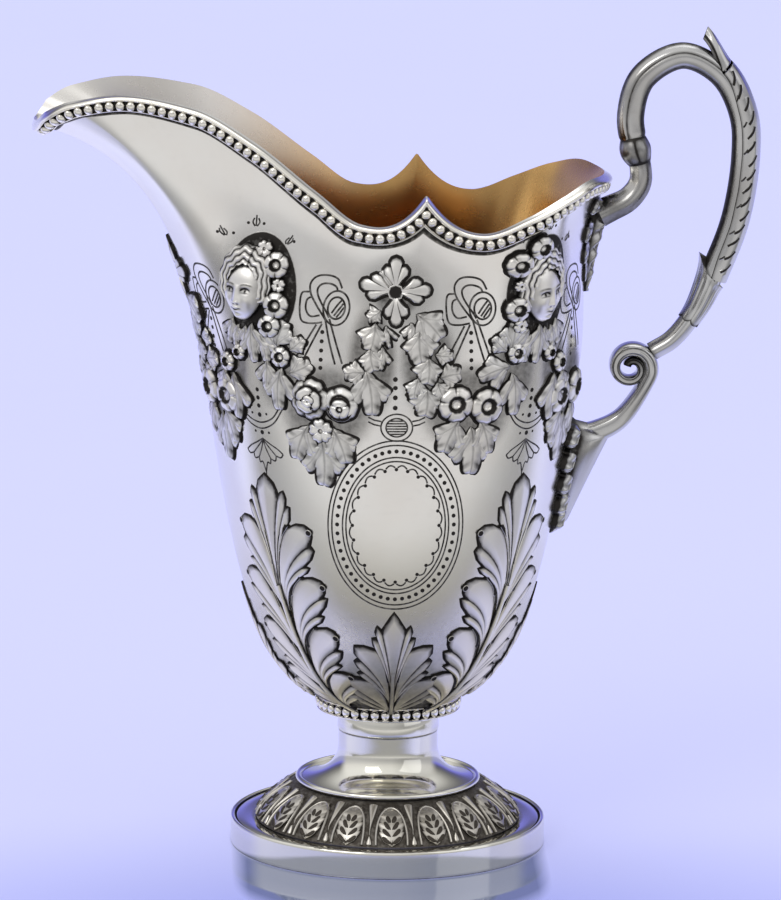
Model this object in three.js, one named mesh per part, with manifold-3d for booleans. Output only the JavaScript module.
// Footed helmet creamer in chased silver: bowl with a long spout, beaded rim, spreading foot and
// cast scroll handle. Millimetres, +Z up. The origin is the centre of the base. The spout points
// along -X and the handle along +X, so the left side is -Y.
import * as THREE from 'three';
import { mergeVertices } from 'three/addons/utils/BufferGeometryUtils.js';
import Module from 'manifold-3d';

// Joints and sheet
const SEAM = 0.3; // gap at every soldered joint
const BOWL_WALL = 0.9;

// Base rim and flange
const BASE_RADIUS = 31.7;
const BASE_HEIGHT = 5.5;
const BASE_BAND_THICKNESS = 1.8;
const BASE_EDGE_WIDTH = 0.9; // raised line round the flange
const BASE_EDGE_ROUND = 0.3;
const FLANGE_THICKNESS = 0.7;
const FLANGE_DROP = 0.3; // flange top below the raised line
const FLANGE_SHOW = 5.1; // from the outside of the base to the foot of the leaf band

// Leaf band
const LEAF_BAND_FOOT_RADIUS = BASE_RADIUS - FLANGE_SHOW;
const LEAF_BAND_SPREAD = 8.0; // how far its foot stands out past its top
const LEAF_BAND_TOP_RADIUS = LEAF_BAND_FOOT_RADIUS - LEAF_BAND_SPREAD;
const LEAF_BAND_HEIGHT = 7.0;
const LEAF_BAND_BULGE = 1.1; // how far its slope swells out of the straight cone
const LEAF_BAND_WALL = 1.2;
const LEAF_COUNT = 18;
const LEAF_RELIEF = 0.7;
const LEAF_FULLNESS = 0.72; // greatest breadth of a leaf as a share of its place
const LEAF_VEIN = 0.6; // relief left along the middle of a leaf

// Trumpet stem, its edge wire and the collar under the bowl
const DISH_WIRE_WIDTH = 1.2;
const DISH_WIRE_HEIGHT = 1.0;
const STEM_RADIUS = 10.0;
const STEM_WALL = 0.9;
const STEM_HEIGHT = 14.6;
const STEM_CYLINDER_HEIGHT = 9.8;
const COLLAR_RADIUS = 14.5;
const COLLAR_HEIGHT = 2.9;
const COLLAR_BORE = 9.4;
const COLLAR_BEAD_COUNT = 42;
const COLLAR_BEAD_RADIUS = 0.7;
const COLLAR_FILLET = 0.55;

// Bowl, heights counted from its lowest point
const BOWL_SINK = 3.3; // depth of the bowl's round bottom inside the collar
const BOWL_FLOOR_PULL = 25.0; // how flat and broad the bottom runs before it turns up
const BELLY_PULL_HEIGHT = 19.2;
const BELLY_PULL_LENGTH = 30.5;
const BELLY_PULL_WIDTH = 33.5;
const SHOULDER_HEIGHT = 71.2;
const SHOULDER_HALF_LENGTH = 37.6;
const SHOULDER_HALF_WIDTH = 29.8;

// Rim: front and back reach, low line, side peaks and spout
const RIM_LOW_HEIGHT = 101.4;
const RIM_HALF_WIDTH = 26.5;
const RIM_SQUARENESS = 0.22; // how full the back of the plan is beside an ellipse
const SPOUT_TIP_X = -71.3;
const RIM_BACK_X = 42.7;
const PEAK_X = 5.7;
const PEAK_HEIGHT = 7.3;
const PEAK_REACH = 12.0;
const PEAK_POWER = 2.4;
const SPOUT_NARROWING = 0.5;
const SPOUT_NARROWING_SPAN = [0.05, 0.85]; // shares of the way to the tip between which it narrows
const SPOUT_TIP_POWER = 16; // larger means a blunter tip
const LIP_FLARE_SIDE = THREE.MathUtils.degToRad(10);
const LIP_FLARE_BACK = THREE.MathUtils.degToRad(35);
const LIP_FLARE_SPOUT = THREE.MathUtils.degToRad(88);
// Pulls of the wall's upper curve, as shares of its chord
const SHOULDER_PULL = 0.38;
const SPOUT_SHOULDER_PULL = 0.12; // more of it towards the spout
const LIP_PULL = 1 / 3;
// Rise over the low line, as shares of its most, along the way from the peak to the spout tip, and
// to the back
const SPOUT_RISE = 25.0;
const SPOUT_RIM_LINE = [[0, 0], [0.165, 0.06], [0.28, 0.304], [0.44, 0.676], [0.59, 0.916], [0.77, 1],
  [0.905, 0.928], [0.97, 0.816], [1, 0.708]];
const BACK_RISE = 8.2;
const BACK_RIM_LINE = [[0, 0], [0.3, 0], [0.55, 0.378], [0.765, 0.793], [0.91, 1], [1, 0.951]];

// Beaded rim border
const BORDER_DEPTH = 3.1;
const BORDER_THICKNESS = 0.8;
const BORDER_LIP = 0.4; // extra thickness of the roll at the top and the fillet at the foot
const BORDER_LIP_DEPTH = 0.7;
const BEAD_ROOT = 1.25; // full height of a bead with its root, as a share of its radius
const BORDER_BEAD_RADIUS = 0.75;
const BORDER_BEAD_PITCH = 2.1;

// Handle: seats on the bowl, lengths along its spine and sections
const UPPER_SEAT_HEIGHT = 101.2;
const LOWER_SEAT_HEIGHT = 56.2;
const SEAT_COVER = 2.0; // start of the arm outside the bowl, inside the leaf
const ARM_LENGTH = 14.6;
const BUD_LENGTH = 4.8;
const HUSK_LENGTH = 10.0;
const SHANK_LENGTH = 9.6;
const HANDLE_REACH = 30.4; // farthest point of the spine out from the upper seat
const HANDLE_RISE = 31.7; // highest point of the spine above the upper seat
const ARM_HALF_THICKNESS = 2.3;
const ARM_TAPER = [1.12, 0.92]; // its root and its end, as shares of that
const BUD_SWELL = 0.75;
const SCROLL_HALF_THICKNESS = 2.3;
const SCROLL_END_HALF_THICKNESS = 1.75;
const HUSK_SWELL = 0.7;
const SHANK_HALF_THICKNESS = 1.95;
const BAR_BREADTH = 1.15; // breadth of every bar across the handle, as a share of its thickness
const THUMB_LEAF_LENGTH = 48.8; // along the scroll, up from its lower end
const THUMB_LEAF_THICKNESS = 0.9;
const THUMB_SPUR_LIFT = 3.8;
const THUMB_SPUR_LENGTH = 6.0;
const THUMB_LEAF_WRAP = THREE.MathUtils.degToRad(78);
const VOLUTE_RADIUS = 5.5;
const VOLUTE_EYE_RADIUS = 1.4;
const VOLUTE_TURNS = 1.35;
const VOLUTE_ENTRY = THREE.MathUtils.degToRad(-31.5); // where the tail runs into the roll
const VOLUTE_BAND = 2.5;
const TAIL_HALF_THICKNESS = 1.9;
const VOLUTE_OUT = 8.7; // from the upper seat
const VOLUTE_DROP = 31.1;
const TAIL_RUN = 6.0; // how far the tail runs straight out of the lower leaf
const TAIL_LIFT = 0.9;
// Way of the spine from the leaf to the shank, as shares of its reach and its rise
const SPINE_WAY = [[0.138, 0.032], [0.253, 0.091], [0.326, 0.189], [0.329, 0.293], [0.286, 0.435],
  [0.26, 0.625], [0.336, 0.861], [0.592, 1], [0.842, 0.883], [0.98, 0.631], [1, 0.372], [0.941, -0.028],
  [0.826, -0.338], [0.694, -0.628], [0.556, -0.801]];

// Leaves on the bowl: height above the seat, length, half width, thickness at the crest and edge
const UPPER_LEAF = { rise: 3.4, length: 18.6, halfWidth: 5.8, crest: 3.6, edge: 0.9 };
const LOWER_LEAF = { rise: 1.2, length: 20.6, halfWidth: 7.0, crest: 5.6, edge: 1.0 };

// Facets
const TURNED_SEGMENTS = 40;
const BOWL_QUARTER_SEGMENTS = 14;
const BOWL_QUARTER_EASE = 0.6; // how strongly the segments crowd towards the peaks and the ends
const BOWL_OUTER_ROWS = [7, 7]; // below and above the shoulder
const BOWL_INNER_ROWS = [5, 6];
const BAR_SIDES = 10;

const SILVER = { color: 0xcfcfd2, roughness: 0.22, metalness: 1.0 };
const GILT_SILVER = { color: 0xd2c6a4, roughness: 0.24, metalness: 1.0 };

const wasm = await Module();
wasm.setup();

const creamer = new THREE.Group();

// Adds one named piece with its own material.
function addPiece(name, geometry, finish = SILVER) {
  const mesh = new THREE.Mesh(geometry, new THREE.MeshStandardMaterial(finish));
  mesh.name = name;
  creamer.add(mesh);
}

// Closed geometry from positions and triangles, turned so that its faces point out.
function closedGeometry(points, triangles) {
  const geometry = new THREE.BufferGeometry().setFromPoints(points);
  geometry.setIndex(triangles);
  return facingOut(mergeVertices(geometry, 1e-4));
}

// Drops flat triangles and reverses the rest if the enclosed volume is negative.
function facingOut(geometry) {
  const index = Array.from(geometry.index.array);
  const position = geometry.attributes.position;
  const corner = (i) => new THREE.Vector3().fromBufferAttribute(position, i);
  const kept = [];
  let volume = 0;
  for (let i = 0; i < index.length; i += 3) {
    const [a, b, c] = index.slice(i, i + 3);
    if (a === b || b === c || c === a) continue;
    kept.push(a, b, c);
    volume += corner(a).dot(corner(b).cross(corner(c)));
  }
  if (volume < 0) kept.reverse();
  geometry.setIndex(kept);
  return geometry;
}

// Solid through a row of closed rings. A ring of one point closes an end to a tip, and an end
// that is a full ring gets a flat face, unless the row runs back into its first ring.
function loft(rings, { looped = false } = {}) {
  const points = [];
  const starts = [];
  for (const ring of rings) {
    starts.push(points.length);
    points.push(...ring);
  }
  const triangles = [];
  for (let r = 0; r + 1 < rings.length; r++) {
    const count = Math.max(rings[r].length, rings[r + 1].length);
    const at = (ring, k) => starts[ring] + (k % count) % rings[ring].length;
    for (let k = 0; k < count; k++) {
      triangles.push(at(r, k), at(r, k + 1), at(r + 1, k + 1));
      triangles.push(at(r, k), at(r + 1, k + 1), at(r + 1, k));
    }
  }
  const last = rings.length - 1;
  for (let k = 1; k + 1 < rings[0].length && !looped; k++) {
    triangles.push(starts[0], starts[0] + k + 1, starts[0] + k);
  }
  for (let k = 1; k + 1 < rings[last].length && !looped; k++) {
    triangles.push(starts[last], starts[last] + k, starts[last] + k + 1);
  }
  return closedGeometry(points, triangles);
}

// Solid of revolution about Z from a closed outline of [radius, height] points.
function turned(outline, segments = TURNED_SEGMENTS) {
  const loop = [...outline, outline[0]].map(([r, z]) => new THREE.Vector2(r, z));
  const geometry = new THREE.LatheGeometry(loop, segments).rotateX(Math.PI / 2);
  geometry.deleteAttribute('normal');
  geometry.deleteAttribute('uv');
  return facingOut(mergeVertices(geometry, 1e-4));
}

// Fuses closed geometries into one.
function fuse(geometries) {
  const solids = geometries.map((geometry) => {
    const vertProperties = new Float32Array(geometry.attributes.position.array);
    const triVerts = new Uint32Array(geometry.index.array);
    return new wasm.Manifold(new wasm.Mesh({ numProp: 3, vertProperties, triVerts }));
  });
  const mesh = solids.reduce((whole, solid) => whole.add(solid)).getMesh();
  const geometry = new THREE.BufferGeometry();
  geometry.setAttribute('position', new THREE.BufferAttribute(mesh.vertProperties, 3));
  geometry.setIndex(Array.from(mesh.triVerts));
  return geometry;
}

// Smooth height through knots that never overshoots them, level at both ends.
function smoothThrough(knots, x) {
  const chord = (i) => (knots[i + 1][1] - knots[i][1]) / (knots[i + 1][0] - knots[i][0]);
  const slope = (i) => {
    if (i === 0 || i === knots.length - 1) return 0;
    const before = chord(i - 1);
    const after = chord(i);
    return before * after > 0 ? (2 * before * after) / (before + after) : 0;
  };
  let i = 0;
  while (i < knots.length - 2 && x > knots[i + 1][0]) i++;
  const span = knots[i + 1][0] - knots[i][0];
  const t = (x - knots[i][0]) / span;
  const bend = t * t * (3 - 2 * t);
  const ease = t * (1 - t) * span * (slope(i) * (1 - t) - slope(i + 1) * t);
  return knots[i][1] * (1 - bend) + knots[i + 1][1] * bend + ease;
}

// Heights of the joints, from the table up
const flangeTop = BASE_HEIGHT - FLANGE_DROP;
const leafBandFoot = flangeTop + SEAM;
const leafBandTop = leafBandFoot + LEAF_BAND_HEIGHT;
const stemFoot = leafBandTop + SEAM;
const stemTop = stemFoot + STEM_HEIGHT;
const collarFoot = stemTop + SEAM;
const collarTop = collarFoot + COLLAR_HEIGHT;
const bowlBottom = collarTop - BOWL_SINK;
const shoulderZ = bowlBottom + SHOULDER_HEIGHT;

// Bowl surface

// Width of the rim's plan as a share of its half width.
function rimWidthShare(theta) {
  const along = Math.cos(theta);
  if (along >= 0) {
    return Math.sin(theta) * (1 + RIM_SQUARENESS * Math.sin(2 * theta) ** 2);
  }
  const narrowing = SPOUT_NARROWING * THREE.MathUtils.smoothstep(-along, ...SPOUT_NARROWING_SPAN);
  const tip = Math.sqrt(Math.max(0, 1 - along ** SPOUT_TIP_POWER));
  return Math.sign(Math.sin(theta)) * (1 - narrowing) * tip;
}

// Top edge of the rim: theta is 0 at the handle and pi at the spout tip.
function rimPoint(theta) {
  const along = Math.cos(theta);
  const share = Math.abs(along);
  const reach = along < 0 ? PEAK_X - SPOUT_TIP_X : RIM_BACK_X - PEAK_X;
  const rise = along < 0
    ? SPOUT_RISE * smoothThrough(SPOUT_RIM_LINE, share)
    : BACK_RISE * smoothThrough(BACK_RIM_LINE, share);
  const peak = PEAK_HEIGHT * Math.max(0, 1 - (share * reach) / PEAK_REACH) ** PEAK_POWER;
  const z = bowlBottom + RIM_LOW_HEIGHT + rise + peak;
  return new THREE.Vector3(PEAK_X + along * reach, RIM_HALF_WIDTH * rimWidthShare(theta), z);
}

// Direction in which the sheet leaves the bowl at the lip.
function lipDirection(theta) {
  const along = Math.cos(theta);
  const back = Math.max(0, along);
  const front = Math.max(0, -along);
  const flareBack = LIP_FLARE_SIDE + (LIP_FLARE_BACK - LIP_FLARE_SIDE) * back ** 2;
  const flareFront = (LIP_FLARE_SPOUT - LIP_FLARE_SIDE) * front ** 4;
  const side = Math.sin(LIP_FLARE_SIDE) * Math.sin(theta);
  const x = Math.sin(flareBack) * back - Math.sin(flareFront);
  return new THREE.Vector3(x, side, Math.cos(Math.max(flareFront, flareBack * back))).normalize();
}

// The two curves of the bowl's wall at one angle: below and above the shoulder.
function wallCurves(theta) {
  const along = Math.cos(theta);
  const across = Math.sin(theta);
  const at = (length, width, z) => new THREE.Vector3(length * along, width * across, z);
  const shoulder = at(SHOULDER_HALF_LENGTH, SHOULDER_HALF_WIDTH, shoulderZ);
  const belly = at(BELLY_PULL_LENGTH, BELLY_PULL_WIDTH, bowlBottom + BELLY_PULL_HEIGHT);
  const floor = at(BOWL_FLOOR_PULL, BOWL_FLOOR_PULL, bowlBottom);
  const rim = rimPoint(theta);
  const chord = rim.distanceTo(shoulder);
  const lean = shoulder.clone().sub(belly).normalize();
  const pull = chord * (SHOULDER_PULL + SPOUT_SHOULDER_PULL * Math.max(0, -along));
  const aboveShoulder = shoulder.clone().addScaledVector(lean, pull);
  const belowRim = rim.clone().addScaledVector(lipDirection(theta), -chord * LIP_PULL);
  return [
    new THREE.CubicBezierCurve3(new THREE.Vector3(0, 0, bowlBottom), floor, belly, shoulder),
    new THREE.CubicBezierCurve3(shoulder, aboveShoulder, belowRim, rim),
  ];
}

// Point of the bowl's outside: level runs from 0 at the bottom over 1 at the shoulder to 2 at the rim.
function bowlPoint(theta, level) {
  const curves = wallCurves(theta);
  return level <= 1 ? curves[0].getPoint(level) : curves[1].getPoint(level - 1);
}

// Outward direction of the bowl's surface.
function bowlNormal(theta, level) {
  const step = 1e-3;
  const low = Math.max(step, level - step);
  const high = Math.min(2, level + step);
  const here = Math.max(step, level);
  const around = bowlPoint(theta + step, here).sub(bowlPoint(theta - step, here));
  const up = bowlPoint(theta, high).sub(bowlPoint(theta, low));
  return around.cross(up).normalize();
}

// Level at which the wall reaches a height, by halving.
function levelAt(theta, z) {
  let low = 0;
  let high = 2;
  for (let i = 0; i < 40; i++) {
    const middle = (low + high) / 2;
    if (bowlPoint(theta, middle).z < z) low = middle;
    else high = middle;
  }
  return low;
}

// Point at a distance outside the bowl.
function offBowl(theta, level, distance) {
  return bowlPoint(theta, level).addScaledVector(bowlNormal(theta, level), distance);
}

// Angle at a share of the quarter from a side peak: close steps at the peak and at the ends.
function quarterAngle(share) {
  const ease = share * share * (3 - 2 * share);
  return (Math.PI / 2) * (BOWL_QUARTER_EASE * ease + (1 - BOWL_QUARTER_EASE) * share ** 1.4);
}

// Angles round the bowl from the handle, counted through +Y, the spout and -Y.
function anglesRound() {
  const half = [];
  for (let i = BOWL_QUARTER_SEGMENTS; i > 0; i--) {
    half.push(Math.PI / 2 - quarterAngle(i / BOWL_QUARTER_SEGMENTS));
  }
  for (let i = 0; i < BOWL_QUARTER_SEGMENTS; i++) {
    half.push(Math.PI / 2 + quarterAngle(i / BOWL_QUARTER_SEGMENTS));
  }
  const mirrored = half.slice(1).map((angle) => -angle).reverse();
  return [...half, Math.PI, ...mirrored];
}

// Levels of the rows above the bottom, with a count below and above the shoulder.
function rowLevels([below, above]) {
  const levels = [];
  for (let i = 1; i <= below; i++) levels.push(i / below);
  for (let i = 1; i <= above; i++) levels.push(1 + i / above);
  return levels;
}

function bodyShell() {
  const angles = anglesRound();
  const outside = rowLevels(BOWL_OUTER_ROWS).map((level) => angles.map((a) => bowlPoint(a, level)));
  const innerRing = (level) => angles.map((a) => offBowl(a, level, -BOWL_WALL));
  const inside = rowLevels(BOWL_INNER_ROWS).map(innerRing);
  const bottom = new THREE.Vector3(0, 0, bowlBottom);
  const floor = new THREE.Vector3(0, 0, bowlBottom + BOWL_WALL);
  return loft([[bottom], ...outside, ...inside.reverse(), [floor]]);
}

// Beaded rim border

// Point on the border: depth is square to the rim line, and distance is out from the bowl.
// Heading is the sense in which the strip runs on from there.
function borderPoint(theta, heading, depth, distance) {
  const run = rimPoint(theta + heading * 1e-3).sub(rimPoint(theta));
  const across = Math.hypot(run.x, run.y);
  const steep = Math.hypot(across, run.z) / across;
  const lip = lipDirection(theta).z;
  const curve = wallCurves(theta)[1];
  const pull = curve.v3.distanceTo(curve.v2);
  const level = 2 - (depth * (1 + (steep - 1) * lip)) / (3 * pull);
  return offBowl(theta, level, distance);
}

// Corners of the border's section as [depth, distance from the bowl].
function borderSection() {
  const face = SEAM + BORDER_THICKNESS;
  const roll = face + BORDER_LIP;
  return [
    [0, SEAM],
    [0, roll],
    [BORDER_LIP_DEPTH, roll],
    [BORDER_LIP_DEPTH + BORDER_LIP, face],
    [BORDER_DEPTH - BORDER_LIP, face],
    [BORDER_DEPTH, face + BORDER_LIP / 2],
    [BORDER_DEPTH, SEAM],
  ];
}

// One strip with its beads, from a side peak towards the tip or the back.
function rimBorder(side, towardsSpout) {
  const heading = towardsSpout ? side : -side;
  const turn = (share) => (side * Math.PI) / 2 + heading * quarterAngle(share);
  const at = (share, depth, distance) => borderPoint(turn(share), heading, depth, distance);
  const length = (from, to) => rimPoint(turn(from)).distanceTo(rimPoint(turn(to)));
  const near = SEAM / length(0, 0.01) * 0.01;
  const far = 1 - SEAM / length(0.99, 1) * 0.01;
  const shares = [near];
  for (let i = 1; i < BOWL_QUARTER_SEGMENTS; i++) shares.push(i / BOWL_QUARTER_SEGMENTS);
  shares.push(far);
  const section = borderSection();
  const ring = (share) => section.map(([depth, distance]) => at(share, depth, distance));
  return fuse([loft(shares.map(ring)), ...borderBeads(at)]);
}

// Bead seated on a face: a six-sided stud, rooted a little below the face.
function bead(radius, place, outward) {
  const stud = new THREE.ConeGeometry(BEAD_ROOT * radius, BEAD_ROOT * radius, 6);
  stud.translate(0, radius - (BEAD_ROOT * radius) / 2, 0);
  stud.deleteAttribute('normal');
  stud.deleteAttribute('uv');
  stud.applyQuaternion(new THREE.Quaternion().setFromUnitVectors(new THREE.Vector3(0, 1, 0), outward));
  return facingOut(mergeVertices(stud.translate(place.x, place.y, place.z), 1e-4));
}

// Beads at an even pitch along the middle of a strip.
function borderBeads(at) {
  const depth = (BORDER_LIP_DEPTH + BORDER_LIP + BORDER_DEPTH - BORDER_LIP) / 2;
  const face = SEAM + BORDER_THICKNESS;
  const samples = 200;
  const line = [];
  for (let i = 0; i <= samples; i++) line.push(at(i / samples, depth, face));
  const path = new THREE.CatmullRomCurve3(line);
  const count = Math.round(path.getLength() / BORDER_BEAD_PITCH);
  const beads = [];
  for (let i = 1; i < count; i++) {
    const share = path.getUtoTmapping(i / count);
    const place = at(share, depth, face);
    beads.push(bead(BORDER_BEAD_RADIUS, place, at(share, depth, face + 1).sub(place).normalize()));
  }
  return beads;
}

// Foot

function baseRim() {
  const inner = BASE_RADIUS - BASE_BAND_THICKNESS;
  const ledge = flangeTop - FLANGE_THICKNESS - SEAM;
  const edgeInner = BASE_RADIUS - BASE_EDGE_WIDTH;
  return turned([
    [inner, 0],
    [BASE_RADIUS - BASE_EDGE_ROUND, 0],
    [BASE_RADIUS, BASE_EDGE_ROUND],
    [BASE_RADIUS, BASE_HEIGHT - BASE_EDGE_ROUND],
    [BASE_RADIUS - BASE_EDGE_ROUND, BASE_HEIGHT],
    [edgeInner, BASE_HEIGHT],
    [edgeInner, ledge],
    [inner, ledge],
  ]);
}

function baseFlange() {
  const outer = BASE_RADIUS - BASE_EDGE_WIDTH - SEAM;
  const inner = LEAF_BAND_FOOT_RADIUS - 2 * LEAF_BAND_WALL;
  const under = flangeTop - FLANGE_THICKNESS;
  return turned([[inner, under], [outer, under], [outer, flangeTop], [inner, flangeTop]]);
}

// Height of the leaf relief at an angle and a share of the way up the band.
function leafRelief(angle, share) {
  const pitch = (2 * Math.PI) / LEAF_COUNT;
  const across = Math.abs(THREE.MathUtils.euclideanModulo(angle, pitch) / pitch - 0.5) * 2;
  const halfLeaf = LEAF_FULLNESS * Math.sin(Math.PI * (0.12 + 0.8 * share)) ** 0.7;
  const body = Math.max(0, 1 - (across / halfLeaf) ** 2);
  const vein = across < 0.05 ? LEAF_VEIN : 1;
  return LEAF_RELIEF * body * vein;
}

function footLeafBand() {
  const rows = 4;
  const perLeaf = 6;
  const segments = LEAF_COUNT * perLeaf;
  const ring = (share, wall, relief) => {
    const slope = LEAF_BAND_FOOT_RADIUS - LEAF_BAND_SPREAD * share;
    const swell = LEAF_BAND_BULGE * Math.sin(Math.PI * share);
    const points = [];
    for (let k = 0; k < segments; k++) {
      const angle = (2 * Math.PI * k) / segments;
      const radius = slope + swell - wall + (relief ? leafRelief(angle, share) : 0);
      const z = leafBandFoot + LEAF_BAND_HEIGHT * share;
      points.push(new THREE.Vector3(radius * Math.cos(angle), radius * Math.sin(angle), z));
    }
    return points;
  };
  const rings = [];
  for (let i = 0; i <= rows; i++) rings.push(ring(i / rows, 0, i > 0 && i < rows));
  const under = LEAF_BAND_WALL * Math.hypot(1, LEAF_BAND_HEIGHT / LEAF_BAND_SPREAD);
  rings.push(ring(1, under, false), ring(0, under, false));
  return loft([...rings, rings[0]], { looped: true });
}

function dishEdgeRing() {
  const outer = LEAF_BAND_TOP_RADIUS;
  const inner = outer - DISH_WIRE_WIDTH;
  const foot = leafBandTop + SEAM;
  const top = foot + DISH_WIRE_HEIGHT;
  const round = DISH_WIRE_HEIGHT / 3;
  return turned([
    [inner, foot],
    [outer - round, foot],
    [outer, foot + round],
    [outer, top - round],
    [outer - round, top],
    [inner, top],
  ]);
}

// Trumpet: a cylinder that sweeps out in a hollow curve to the edge wire.
function footStem() {
  const edge = LEAF_BAND_TOP_RADIUS - DISH_WIRE_WIDTH - SEAM;
  const sweepTop = stemTop - STEM_CYLINDER_HEIGHT;
  const edgeTop = stemFoot + STEM_WALL;
  const sweep = new THREE.CubicBezierCurve(
    new THREE.Vector2(edge, edgeTop),
    new THREE.Vector2((edge + STEM_RADIUS) / 2, edgeTop),
    new THREE.Vector2(STEM_RADIUS, (sweepTop + edgeTop) / 2),
    new THREE.Vector2(STEM_RADIUS, sweepTop),
  );
  const outside = sweep.getPoints(5).map((p) => [p.x, p.y]);
  const inside = sweep.getPoints(3).map((p) => {
    const share = (p.x - STEM_RADIUS) / (edge - STEM_RADIUS);
    return [p.x - STEM_WALL * (1 - share), p.y - STEM_WALL * share];
  });
  return turned([
    ...outside,
    [STEM_RADIUS, stemTop],
    [STEM_RADIUS - STEM_WALL, stemTop],
    ...inside.reverse(),
  ]);
}

// Beaded ring whose hollow top carries the bowl.
function collarBeadRing() {
  const under = (radius) => {
    let low = 0;
    let high = 1;
    for (let i = 0; i < 30; i++) {
      const middle = (low + high) / 2;
      if (bowlPoint(0, middle).x < radius) low = middle;
      else high = middle;
    }
    return Math.min(collarTop, bowlPoint(0, low).z - SEAM);
  };
  const face = COLLAR_RADIUS - COLLAR_BEAD_RADIUS / 2;
  const ring = turned([
    [COLLAR_BORE, collarFoot],
    [face, collarFoot],
    [COLLAR_RADIUS, collarFoot + COLLAR_FILLET / 2],
    [face, collarFoot + COLLAR_FILLET],
    [face, collarTop - COLLAR_FILLET],
    [COLLAR_RADIUS, collarTop - COLLAR_FILLET / 2],
    [face, under(face)],
    [COLLAR_BORE, under(COLLAR_BORE)],
  ], COLLAR_BEAD_COUNT);
  const beads = [];
  for (let i = 0; i < COLLAR_BEAD_COUNT; i++) {
    const angle = (2 * Math.PI * (i + 0.5)) / COLLAR_BEAD_COUNT - Math.PI / 2;
    const outward = new THREE.Vector3(Math.cos(angle), Math.sin(angle), 0);
    const place = outward.clone().multiplyScalar(face).setZ((collarFoot + collarTop) / 2);
    beads.push(bead(COLLAR_BEAD_RADIUS, place, outward));
  }
  return fuse([ring, ...beads]);
}

// Handle

const upperSeat = bowlPoint(0, levelAt(0, bowlBottom + UPPER_SEAT_HEIGHT));
const lowerSeat = bowlPoint(0, levelAt(0, bowlBottom + LOWER_SEAT_HEIGHT));
const fromSeat = (x, z) => new THREE.Vector3(upperSeat.x + x, 0, upperSeat.z + z);
const voluteCentre = fromSeat(VOLUTE_OUT, -VOLUTE_DROP);

// Middle line of the handle from the upper seat to the volute.
const spine = new THREE.CatmullRomCurve3([
  fromSeat(SEAT_COVER, 0),
  ...SPINE_WAY.map(([out, up]) => fromSeat(out * HANDLE_REACH, up * HANDLE_RISE)),
  voluteCentre.clone().add(new THREE.Vector3(0.8, 0, 0.6).multiplyScalar(VOLUTE_RADIUS + SEAM)),
]);
spine.arcLengthDivisions = 800;
const spineLength = spine.getLength();

// Place on the spine: middle, and the direction away from the finger gap.
function spineFrame(station) {
  const share = THREE.MathUtils.clamp(station / spineLength, 0, 1);
  const along = spine.getTangentAt(share);
  return { middle: spine.getPointAt(share), out: new THREE.Vector3(-along.z, 0, along.x) };
}

// Oval ring round a middle line.
function ovalRing({ middle, out }, halfThickness, sides = BAR_SIDES) {
  const ring = [];
  for (let k = 0; k < sides; k++) {
    const angle = (2 * Math.PI * k) / sides;
    const point = middle.clone().addScaledVector(out, halfThickness * Math.cos(angle));
    point.y += BAR_BREADTH * halfThickness * Math.sin(angle);
    ring.push(point);
  }
  return ring;
}

// Bar between two stations of the spine, with half the seam left open at each end.
function spineBar(from, to, steps, halfThickness) {
  const start = from + (from > 0 ? SEAM / 2 : 0);
  const end = to - (to < spineLength ? SEAM / 2 : 0);
  const rings = [];
  for (let i = 0; i <= steps; i++) {
    const share = i / steps;
    rings.push(ovalRing(spineFrame(start + (end - start) * share), halfThickness(share)));
  }
  return loft(rings);
}

const armEnd = ARM_LENGTH;
const budEnd = armEnd + BUD_LENGTH;
const huskEnd = spineLength - SHANK_LENGTH;
const scrollEnd = huskEnd - HUSK_LENGTH;
const scrollLength = scrollEnd - budEnd;
const thumbLeafStart = scrollEnd - THUMB_LEAF_LENGTH;
const mix = THREE.MathUtils.lerp;

// Thickness of the scroll, slimmer where the leaf lies over it.
function scrollHalfThickness(share) {
  const leafStart = (thumbLeafStart - budEnd) / scrollLength;
  const slim = THREE.MathUtils.smoothstep(share, leafStart - 0.15, leafStart + 0.2);
  return mix(SCROLL_HALF_THICKNESS, SCROLL_END_HALF_THICKNESS, slim);
}

// Pointed leaf that lies on the bowl below a seat, thick along its middle.
function bowlLeaf(seat, leaf) {
  const rows = 7;
  const acrossSteps = 6;
  const rings = [];
  for (let i = 0; i <= rows; i++) {
    const share = i / rows;
    const z = seat.z + leaf.rise - leaf.length * share;
    const level = levelAt(0, z);
    const width = leaf.halfWidth * Math.max(0.1, Math.sin(Math.PI * (0.2 + 0.78 * share)) ** 0.8);
    const crest = mix(leaf.crest, leaf.edge, share ** 2.2);
    const halfAngle = width / bowlPoint(Math.PI / 2, level).y;
    const outer = [];
    const inner = [];
    for (let k = 0; k <= acrossSteps; k++) {
      const across = (2 * k) / acrossSteps - 1;
      const angle = halfAngle * across;
      const thickness = mix(crest, leaf.edge, Math.abs(across) ** 1.4);
      const here = levelAt(angle, z);
      outer.push(offBowl(angle, here, SEAM + thickness));
      inner.push(offBowl(angle, here, SEAM));
    }
    rings.push([...outer, ...inner.reverse()]);
  }
  return loft(rings);
}

function handleUpperTerminal() {
  const arm = spineBar(0, armEnd, 7, (share) => ARM_HALF_THICKNESS * mix(...ARM_TAPER, share));
  return fuse([bowlLeaf(upperSeat, UPPER_LEAF), arm]);
}

function handleBud() {
  const swell = (share) => BUD_SWELL * Math.sin(Math.PI * (0.1 + 0.75 * share));
  return spineBar(armEnd, budEnd, 4, (share) => ARM_HALF_THICKNESS + swell(share));
}

function handleCScroll() {
  return spineBar(budEnd, scrollEnd, 30, scrollHalfThickness);
}

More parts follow.
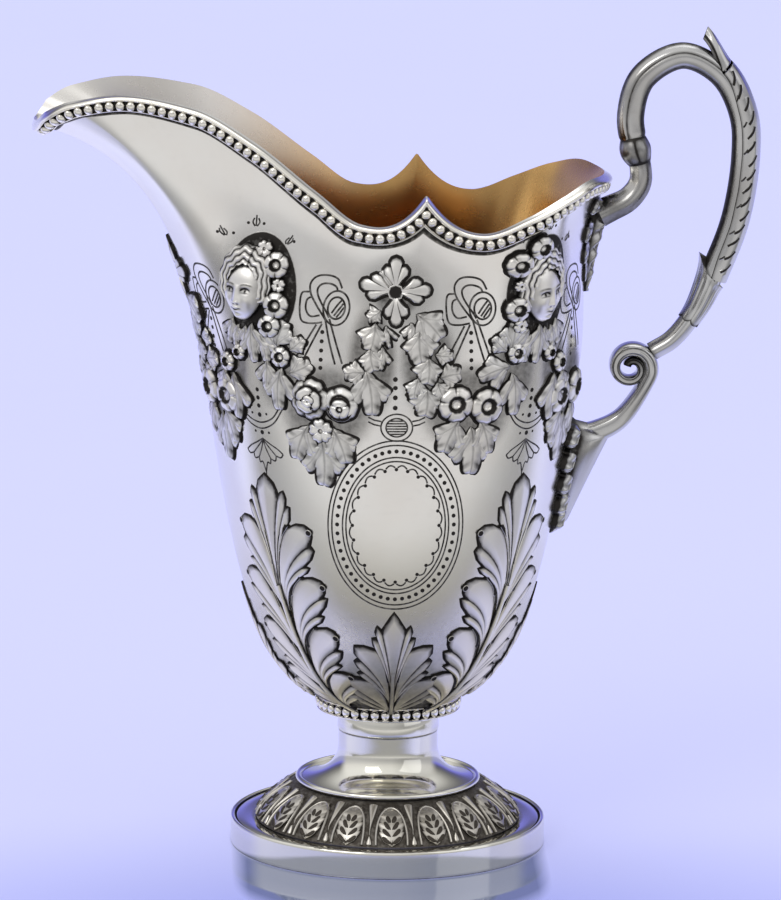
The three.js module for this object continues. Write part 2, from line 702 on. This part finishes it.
// Leaf bent round the outside of the scroll. Its first end lifts off as a pointed spur.
function handleThumbLeaf() {
  const steps = 20;
  const wrapSteps = 3;
  const end = scrollEnd - SEAM / 2;
  const rings = [];
  for (let i = 0; i <= steps; i++) {
    const station = thumbLeafStart + (end - thumbLeafStart) * (i / steps) ** 1.3;
    const frame = spineFrame(station);
    const free = Math.max(0, 1 - (station - thumbLeafStart) / THUMB_SPUR_LENGTH);
    const wrap = THUMB_LEAF_WRAP * (1 - 0.85 * free);
    const inner = scrollHalfThickness((station - budEnd) / scrollLength) + SEAM;
    const lift = THUMB_SPUR_LIFT * free ** 1.5;
    const arc = (radius, sense) => {
      const points = [];
      for (let k = -wrapSteps; k <= wrapSteps; k++) {
        const angle = (sense * wrap * k) / wrapSteps;
        const point = frame.middle.clone().addScaledVector(frame.out, radius * Math.cos(angle) + lift);
        point.y += BAR_BREADTH * radius * Math.sin(angle);
        points.push(point);
      }
      return points;
    };
    rings.push([...arc(inner + THUMB_LEAF_THICKNESS, 1), ...arc(inner, -1)]);
  }
  return loft(rings);
}

function handleHusk() {
  const base = SCROLL_END_HALF_THICKNESS + THUMB_LEAF_THICKNESS / 2;
  const taper = (share) => mix(base + HUSK_SWELL, SHANK_HALF_THICKNESS, share ** 1.5);
  return spineBar(scrollEnd, huskEnd, 6, taper);
}

function handleLowerShank() {
  return spineBar(huskEnd, spineLength, 5, () => SHANK_HALF_THICKNESS);
}

// Tail that rises from the lower leaf and rolls up into the volute.
function handleLowerTerminal() {
  const points = [
    new THREE.Vector3(lowerSeat.x + SEAT_COVER, 0, lowerSeat.z),
    new THREE.Vector3(lowerSeat.x + TAIL_RUN, 0, lowerSeat.z + TAIL_LIFT),
    new THREE.Vector3(mix(lowerSeat.x, voluteCentre.x, 0.86), 0, mix(lowerSeat.z, voluteCentre.z, 0.26)),
  ];
  const middleRadius = VOLUTE_RADIUS - VOLUTE_BAND / 2;
  const turns = 14;
  for (let i = 0; i <= turns; i++) {
    const angle = VOLUTE_ENTRY + (2 * Math.PI * VOLUTE_TURNS * i) / turns;
    const radius = mix(middleRadius, VOLUTE_EYE_RADIUS / 2, (i / turns) ** 1.1);
    const arm = new THREE.Vector3(radius * Math.cos(angle), 0, radius * Math.sin(angle));
    points.push(voluteCentre.clone().add(arm));
  }
  const path = new THREE.CatmullRomCurve3(points);
  path.arcLengthDivisions = 600;
  const steps = 34;
  const rings = [];
  for (let i = 0; i <= steps; i++) {
    const share = i / steps;
    const along = path.getTangentAt(share);
    const frame = { middle: path.getPointAt(share), out: new THREE.Vector3(-along.z, 0, along.x) };
    const taper = THREE.MathUtils.smoothstep(share, 0.3, 0.55);
    const roll = mix(VOLUTE_BAND / 2, VOLUTE_EYE_RADIUS / 2, Math.max(0, (share - 0.55) / 0.45));
    rings.push(ovalRing(frame, mix(TAIL_HALF_THICKNESS, roll, taper), 8));
  }
  return fuse([bowlLeaf(lowerSeat, LOWER_LEAF), loft(rings)]);
}

addPiece('body_shell', bodyShell(), GILT_SILVER);
for (const [side, name] of [[-1, 'left'], [1, 'right']]) {
  addPiece(`rim_border_front_${name}`, rimBorder(side, true));
  addPiece(`rim_border_rear_${name}`, rimBorder(side, false));
}
addPiece('collar_bead_ring', collarBeadRing());
addPiece('foot_stem', footStem());
addPiece('dish_edge_ring', dishEdgeRing());
addPiece('foot_leaf_band', footLeafBand());
addPiece('base_flange', baseFlange());
addPiece('base_rim', baseRim());
addPiece('handle_upper_terminal', handleUpperTerminal());
addPiece('handle_bud', handleBud());
addPiece('handle_c_scroll', handleCScroll());
addPiece('handle_thumb_leaf', handleThumbLeaf());
addPiece('handle_husk', handleHusk());
addPiece('handle_lower_shank', handleLowerShank());
addPiece('handle_lower_terminal', handleLowerTerminal());

export default creamer;
